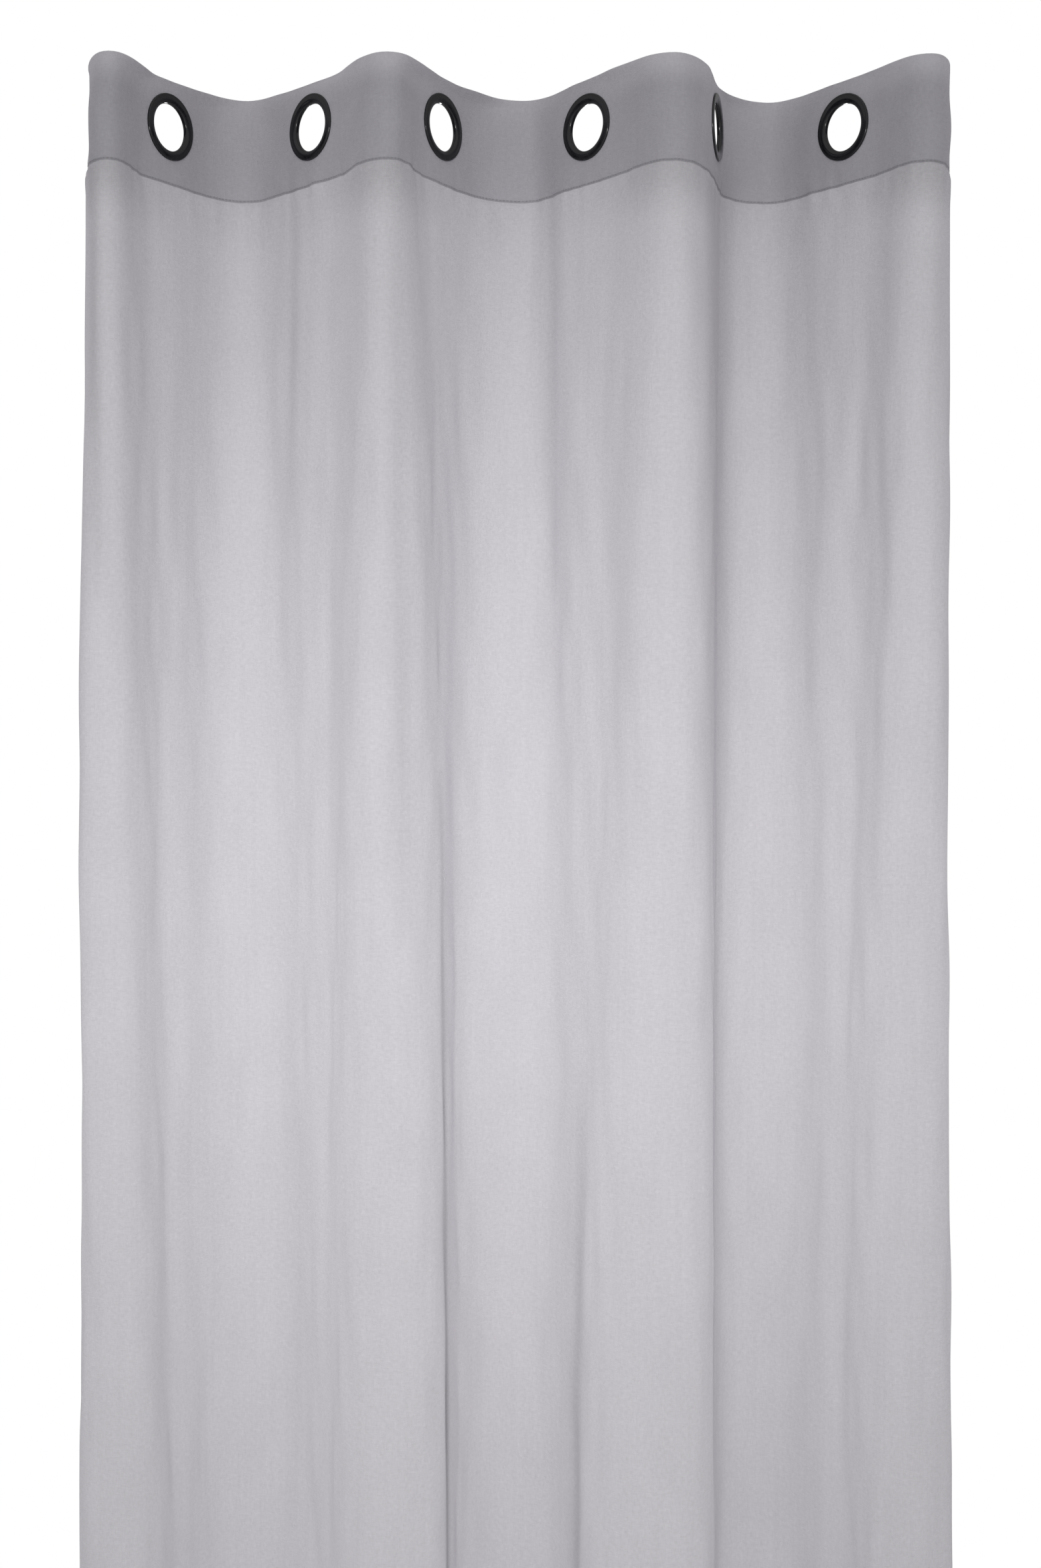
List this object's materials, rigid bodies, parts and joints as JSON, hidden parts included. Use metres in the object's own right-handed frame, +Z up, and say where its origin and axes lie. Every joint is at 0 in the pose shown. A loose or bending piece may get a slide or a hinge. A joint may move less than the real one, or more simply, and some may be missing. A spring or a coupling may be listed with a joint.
{
  "type": "curtain panel",
  "caption": "Full-length light-grey curtain panel hanging in deep even waves from dark round eyelets, with a doubled header, bottom hem and side hems; it gathers towards one end.",
  "frame": {"origin": "on the line through the eyelet centres, half way between the first and the last eyelet", "axes": "+X along the rod, +Z up, the room side faces -Y"},
  "size_m": [0.7304, 0.1404, 2.6],
  "materials": {
    "cloth": "soft light-grey linen-look weave, single layer",
    "facing": "the same weave, turned to the back",
    "tape": "stiff non-woven header tape",
    "eyelet": "black-nickel metallised, satin",
    "hem": "the same weave, turned twice",
    "label": "blank white satin tape"
  },
  "bodies": {
    "strip_1": {"panel_1": "cloth", "header_facing_1": "facing", "header_tape_1": "tape", "front_ring_1": "eyelet", "rear_ring_1": "eyelet", "bottom_hem_1": "hem", "side_hem_left": "hem"},
    "strip_2": {"panel_2": "cloth", "header_facing_2": "facing", "header_tape_2": "tape", "front_ring_2": "eyelet", "rear_ring_2": "eyelet", "bottom_hem_2": "hem"},
    "strip_3": {"panel_3": "cloth", "header_facing_3": "facing", "header_tape_3": "tape", "front_ring_3": "eyelet", "rear_ring_3": "eyelet", "bottom_hem_3": "hem"},
    "strip_4": {"panel_4": "cloth", "header_facing_4": "facing", "header_tape_4": "tape", "front_ring_4": "eyelet", "rear_ring_4": "eyelet", "bottom_hem_4": "hem"},
    "strip_5": {"panel_5": "cloth", "header_facing_5": "facing", "header_tape_5": "tape", "front_ring_5": "eyelet", "rear_ring_5": "eyelet", "bottom_hem_5": "hem"},
    "strip_6": {"panel_6": "cloth", "header_facing_6": "facing", "header_tape_6": "tape", "front_ring_6": "eyelet", "rear_ring_6": "eyelet", "bottom_hem_6": "hem"},
    "strip_7": {"panel_7": "cloth", "header_facing_7": "facing", "header_tape_7": "tape", "front_ring_7": "eyelet", "rear_ring_7": "eyelet", "bottom_hem_7": "hem"},
    "strip_8": {"panel_8": "cloth", "header_facing_8": "facing", "header_tape_8": "tape", "front_ring_8": "eyelet", "rear_ring_8": "eyelet", "bottom_hem_8": "hem", "side_hem_right": "hem", "care_label": "label"}
  },
  "joints": [
    {"name": "fold_1", "type": "hinge", "parent": "strip_1", "child": "strip_2", "pos_m": [-0.3177, -0.071, 0], "axis": [0, 0, 1], "range_deg": [0, 26]},
    {"name": "fold_2", "type": "hinge", "parent": "strip_2", "child": "strip_3", "pos_m": [-0.2398, 0.0522, 0], "axis": [0, 0, 1], "range_deg": [-55.5, 0]},
    {"name": "fold_3", "type": "hinge", "parent": "strip_3", "child": "strip_4", "pos_m": [-0.1237, -0.0729, 0], "axis": [0, 0, 1], "range_deg": [0, 57.4]},
    {"name": "fold_4", "type": "hinge", "parent": "strip_4", "child": "strip_5", "pos_m": [-0.004, 0.0532, 0], "axis": [0, 0, 1], "range_deg": [-56.3, 0]},
    {"name": "fold_5", "type": "hinge", "parent": "strip_5", "child": "strip_6", "pos_m": [0.1065, -0.0691, 0], "axis": [0, 0, 1], "range_deg": [0, 46.4]},
    {"name": "fold_6", "type": "hinge", "parent": "strip_6", "child": "strip_7", "pos_m": [0.2333, 0.0566, 0], "axis": [0, 0, 1], "range_deg": [-44.7, 0]},
    {"name": "fold_7", "type": "hinge", "parent": "strip_7", "child": "strip_8", "pos_m": [0.3051, -0.0652, 0], "axis": [0, 0, 1], "range_deg": [0, 28.8]}
  ],
  "couplings": [
    {"joint": "fold_2", "follows": "fold_1", "ratio": -2.131},
    {"joint": "fold_3", "follows": "fold_1", "ratio": 2.204},
    {"joint": "fold_4", "follows": "fold_1", "ratio": -2.162},
    {"joint": "fold_5", "follows": "fold_1", "ratio": 1.781},
    {"joint": "fold_6", "follows": "fold_1", "ratio": -1.715},
    {"joint": "fold_7", "follows": "fold_1", "ratio": 1.104}
  ]
}
